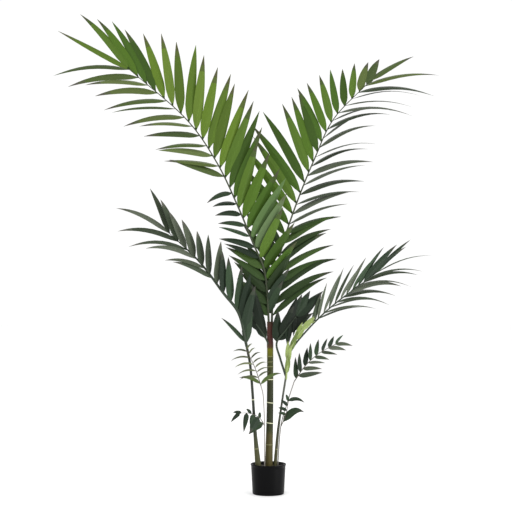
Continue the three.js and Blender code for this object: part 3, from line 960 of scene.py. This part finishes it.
# %% The crownshaft
SHAFT_TOP = 750
SHEATH_ZONES = [(CANE_TOP, "463416"), (660, "40201c"), (720, "4a2620"), (SHAFT_TOP, "3a2a1c")]
SHEATH = zoned("red_sheath", SHEATH_ZONES, roughness=0.5, grain=0.5)
SHEATH_ROUTE = Route([[8, 0, CANE_TOP], [7.5, 0, 694], [8.5, 0, SHAFT_TOP]])
SHEATH_RADII = np.array([12.6, 12.6, 13.1])
SHEATH_STATIONS, SHEATH_SIDES = 24, 32
LOBE = 1.4
LIP_POWER = 3


def two_lobes(share, angle):
    """The shaft spreads towards its two ribs, by lobe share2 cos(2 angle)."""
    return LOBE * MM * share**2 * np.cos(2 * angle)


def sheath(top, grown, slant):
    """A sheath from the shaft's foot to a share of it, grown by millimetres all round. Its upper
    lip slants: a point rises by slant times its place across, more and more towards the lip."""
    shares = np.linspace(0, top, SHEATH_STATIONS)
    rings = limb_rings(SHEATH_ROUTE, SHEATH_RADII + grown, shares, SHEATH_SIDES, two_lobes)
    rise = np.linspace(0, 1, SHEATH_STATIONS) ** LIP_POWER
    across = rings[0, :, :, 0] - SHEATH_ROUTE.at(shares)[:, None, 0]
    rings[0, :, :, 2] += rise[:, None] * slant * across
    return rings


long_sheath = sheath(top=1, grown=0, slant=0)
middle_sheath = sheath(top=0.62, grown=0.9, slant=0.9)
short_sheath = sheath(top=0.3, grown=1.7, slant=-0.8)
wraps = np.concatenate([long_sheath, middle_sheath, short_sheath])
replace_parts(tube_piece("crownshaft_sheaths", wraps, SHEATH, sharp=50), "crownshaft")

# %% [markdown]
# The side stems are coated wire, olive-brown near the pot and dark green above. The right one is a
# little greyer and lighter. The left one has a pale ring and a faint one, the right one a faint
# one. The thin shoots are bare grey wire. All four are limbs like the cane without its relief,
# because at this width no swelling would show.

# %% A stem with its rings
STEM_STATIONS, STEM_SIDES = 80, 20
STEM_RING_WIDTH, STEM_PROUD = 3.4, 0.7


def grow_stem(node, points, radii, stem_finish, pale=(), faint=()):
    """A stem as a round limb, with pale and faint hoops at shares of its length."""
    route = Route(points)
    rings = limb_rings(route, radii, np.linspace(0, 1, STEM_STATIONS), STEM_SIDES)
    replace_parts(tube_piece(f"{node}_limb", rings, stem_finish, sharp=50), node)
    for kind, shares, ring_finish in (("rings", pale, RING_PALE), ("faint_rings", faint, RING_FAINT)):
        if shares:
            shapes = [hoop(route, radii, share, STEM_RING_WIDTH, STEM_PROUD, 0) for share in shares]
            hoops(f"{node}_{kind}", shapes, ring_finish)


print("a stem has", STEM_SIDES, "sides")

# %% Side stems
LEFT_SKIN = zoned(
    "left_stem_skin",
    [(STEM_FOOT, "46452a"), (190, "3e3f24"), (275, "2c3223"), (300, "272c23"), (640, "2a2f26")],
    roughness=0.5, grain=0.4,
)
RIGHT_SKIN = zoned(
    "right_stem_skin",
    [(STEM_FOOT, "46452a"), (190, "3c3b26"), (275, "35362a"), (340, "3c3e34"), (518, "50534a")],
    roughness=0.5, grain=0.4,
)
grow_stem(
    "left_stem",
    points=[
        [-43, -22, STEM_FOOT], [-58, -28, 272], [-68, -34, 434], [-79, -38, 564], [-94, -40, 644],
    ],
    radii=[14, 8.5, 6, 5.5, 5.5],
    stem_finish=LEFT_SKIN,
    pale=[0.565],
    faint=[0.165],
)
grow_stem(
    "right_stem",
    points=[[29, 8, STEM_FOOT], [42, 4, 268], [61, -3, 409], [78, -10, 518]],
    radii=[8, 6, 4.5, 4.5],
    stem_finish=RIGHT_SKIN,
    faint=[0.2],
)

# %% Thin shoots
SHOOT = finish("grey_shoot", light_of("7f7a74"), 0.6, grain=0.3, scale=STREAKS)
grow_stem(
    "left_shoot",
    points=[[-16, -24, STEM_FOOT], [-17, -30, 303], [-22, -42, 426], [-32, -52, 474]],
    radii=[2.4, 2],
    stem_finish=SHOOT,
)
grow_stem(
    "right_shoot",
    points=[[41, 30, STEM_FOOT], [55, 31, 287], [82, 34, 387], [114, 36, 486]],
    radii=[2.6, 2.2],
    stem_finish=SHOOT,
)

# %% [markdown]
# ## The pot and its fill
#
# The pot is a thin black nursery pot: a tapered wall, a rounded lower edge and a small lip. Blender
# could turn it with a Screw modifier, but its rings can come from the same kind of grid as every
# other piece: a list of heights and radii, with the round edge as an arc, carried round the axis.

# %% A turned shape
POT_HEIGHT, RIM_RADIUS, BASE_RADIUS = 131, 77.5, 69
POT_WALL, BASE_EDGE, LIP_HEIGHT, LIP_PROUD = 2.6, 5, 7, 1.6
POT_SIDES = 96


def turned_rings(profile):
    """Rings of a turned shape: at each height and radius of the profile, a circle about the axis."""
    height, radius = (np.array(column) * MM for column in zip(*profile))
    angle = np.arange(POT_SIDES) * 2 * pi / POT_SIDES
    x = radius[:, None] * np.cos(angle)
    y = radius[:, None] * np.sin(angle)
    z = np.repeat(height[:, None], POT_SIDES, axis=1)
    return np.stack([x, y, z], axis=-1)[None]


def wall_at(height):
    """The pot's outer radius at a height, on a straight line from the base to below the lip."""
    return BASE_RADIUS + (RIM_RADIUS - LIP_PROUD - BASE_RADIUS) * height / POT_HEIGHT


print("the wall tapers from", wall_at(POT_HEIGHT), "to", wall_at(0), "mm")

# %% The pot
POT = finish("black_pot", light_of("060607"), 0.36, grain=0.25, scale=(700,) * 3, specular=0.07)
EDGE_POINTS, WALL_POINTS, WALL_START, LIP_GAP = 8, 12, 9, 0.6
LIP_STEP, LIP_EDGE, LIP_CUT, LIP_NICK = 2, 1.2, 0.4, 0.3
INNER_EDGE, INNER_ROUND = 0.6, 3

corner = np.linspace(0, pi / 2, EDGE_POINTS)
edge_height = BASE_EDGE * (1 - np.cos(corner))
edge_radius = wall_at(BASE_EDGE) - BASE_EDGE * (1 - np.sin(corner))
lip = POT_HEIGHT - LIP_HEIGHT
inner_rim, inner_foot = wall_at(POT_HEIGHT) - POT_WALL, wall_at(0) - POT_WALL
profile = [
    *zip(edge_height, edge_radius),
    *((height, wall_at(height)) for height in np.linspace(WALL_START, lip - LIP_GAP, WALL_POINTS)),
    (lip, wall_at(lip) + LIP_CUT),
    (lip + LIP_EDGE, RIM_RADIUS - LIP_NICK),
    (lip + LIP_STEP, RIM_RADIUS),
    (POT_HEIGHT - LIP_EDGE, RIM_RADIUS),
    (POT_HEIGHT - LIP_NICK, RIM_RADIUS - LIP_CUT),
    (POT_HEIGHT, RIM_RADIUS - LIP_EDGE),
    (POT_HEIGHT, inner_rim + INNER_EDGE),
    (POT_HEIGHT - INNER_EDGE, inner_rim),
    (POT_WALL + INNER_ROUND, inner_foot),
    (POT_WALL, inner_foot - INNER_ROUND),
]
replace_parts(tube_piece("pot_shell", turned_rings(profile), POT, sharp=50), "pot")

# %% [markdown]
# The fill is rough and dark. Its top is a turned disc, and a few waves that cross at odd angles
# shake its height. A Displace modifier could do that as well, but waves are quick to work out on
# the whole array and give lumps without any repeat that the eye could find.

# %% The fill
FILL = finish("dark_fill", light_of("2a241f"), 0.95, grain=2.0, scale=(260,) * 3)
FILL_TOP, FILL_RINGS = 118, 40
FILL_GAP, FILL_LIFT, FIRST_STEP, LAST_RADIUS = 0.5, 0.4, 0.8, 0.5
LUMP = 1.1
WAVES, WAVE_TURN, FIRST_PITCH, PITCH_STEP = 9, 2.4, 90, 55


def lumps(x, y):
    """The sum of sin((x cos a + y sin a) f + a) over waves of their own direction a and pitch f,
    over the root of their number."""
    total = np.zeros_like(x)
    for count in range(1, WAVES + 1):
        turn = count * WAVE_TURN
        pitch = FIRST_PITCH + PITCH_STEP * count
        total += np.sin((x * np.cos(turn) + y * np.sin(turn)) * pitch + turn) / WAVES**0.5
    return total


fill_rim = wall_at(FILL_TOP) - POT_WALL - FILL_GAP
fill_foot = wall_at(POT_WALL) - POT_WALL - FILL_GAP
low_top = FILL_TOP - LUMP
fill_profile = [(POT_WALL + FILL_LIFT, fill_foot), (low_top, fill_rim)]
fill_profile += [(low_top, r) for r in np.linspace(fill_rim - FIRST_STEP, LAST_RADIUS, FILL_RINGS)]
fill_rings = turned_rings(fill_profile)
top = fill_rings[0, 2:]
top[..., 2] += LUMP * MM * np.clip(lumps(top[..., 0], top[..., 1]), -1, 1)
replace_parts(tube_piece("pot_fill_top", fill_rings, FILL, sharp=60), "pot_fill")

# %% [markdown]
# ## Floor, light and camera
#
# The plant stands in a plain pale room: a large floor, an even pale sky as the studio's walls, and
# three large soft lights. A small fourth one low on the right gives the black pot its soft sheen on
# that side. Sun lamps would be simpler, but their hard shadows would cut the leaflets apart.

# %% Floor and sky
FLOOR_SIZE, FLOOR_LIGHT = 30.0, 0.97
floor_mesh = bpy.data.meshes.new("floor")
corners = np.array([[-1, -1, 0], [1, -1, 0], [1, 1, 0], [-1, 1, 0]]) * FLOOR_SIZE / 2
floor_mesh.from_pydata(corners, [], [[0, 1, 2, 3]])
floor_mesh.materials.append(finish("pale_floor", (FLOOR_LIGHT,) * 3, 0.8, specular=0.1))
floor = bpy.data.objects.new("floor", floor_mesh)
bpy.context.scene.collection.objects.link(floor)

SKY_LIGHT = 1.04
world = bpy.data.worlds.new("studio")
world.use_nodes = True
sky = world.node_tree.nodes["Background"]
sky.inputs["Color"].default_value = (1, 1, 1, 1)
sky.inputs["Strength"].default_value = SKY_LIGHT
bpy.context.scene.world = world
print("the floor is", FLOOR_SIZE, "m wide")


# %% Soft lights
def softbox(name, place, aim, size, power):
    """A square area light, at a place in metres and turned towards a point. It looks down by
    nature, so it is tipped up by a right angle and the pitch of its aim, then swung about Z."""
    light = bpy.data.lights.new(name, "AREA")
    light.size = size
    light.energy = power
    made = bpy.data.objects.new(name, light)
    bpy.context.scene.collection.objects.link(made)
    reach = np.array(aim) - np.array(place)
    made.location = place
    pitch = np.arctan2(reach[2], np.hypot(reach[0], reach[1]))
    made.rotation_euler = (pi / 2 + pitch, 0, np.arctan2(reach[1], reach[0]) - pi / 2)
    print(name, "shines with", power, "W")


softbox("key_light", place=(-2.6, -3.4, 3.4), aim=(0, 0, 1.1), size=2.4, power=60)
softbox("fill_light", place=(3.2, -2.6, 2.2), aim=(0, 0, 1.1), size=2.6, power=30)
softbox("back_light", place=(0.6, 3.0, 3.2), aim=(0, 0, 1.3), size=2.4, power=30)
softbox("low_light", place=(1.5, -0.9, 0.3), aim=(0, 0, 0.1), size=0.6, power=13)

# %% [markdown]
# The camera looks straight at the plant from six metres away, at the height of its middle, which
# is where the photo seems to be taken from. Its lens follows from the distance and from how many
# millimetres one pixel of the photo spans at the cane.

# %% Camera
CAMERA_PLACE = (-0.0537, -6.150, 1.0366)
SENSOR = 36.0
MM_PER_PIXEL = 4.363
PHOTO_PIXELS = 512
camera = bpy.data.cameras.new("camera")
camera.sensor_width = SENSOR
camera.lens = SENSOR * -CAMERA_PLACE[1] / (PHOTO_PIXELS * MM_PER_PIXEL * MM)
camera_object = bpy.data.objects.new("camera", camera)
camera_object.location = CAMERA_PLACE
camera_object.rotation_euler = (pi / 2, 0, 0)
bpy.context.scene.collection.objects.link(camera_object)
bpy.context.scene.camera = camera_object
bpy.context.scene.view_settings.view_transform = "Standard"
print("lens", round(camera.lens, 2), "mm, view", round(degrees(camera.angle), 1), "degrees")
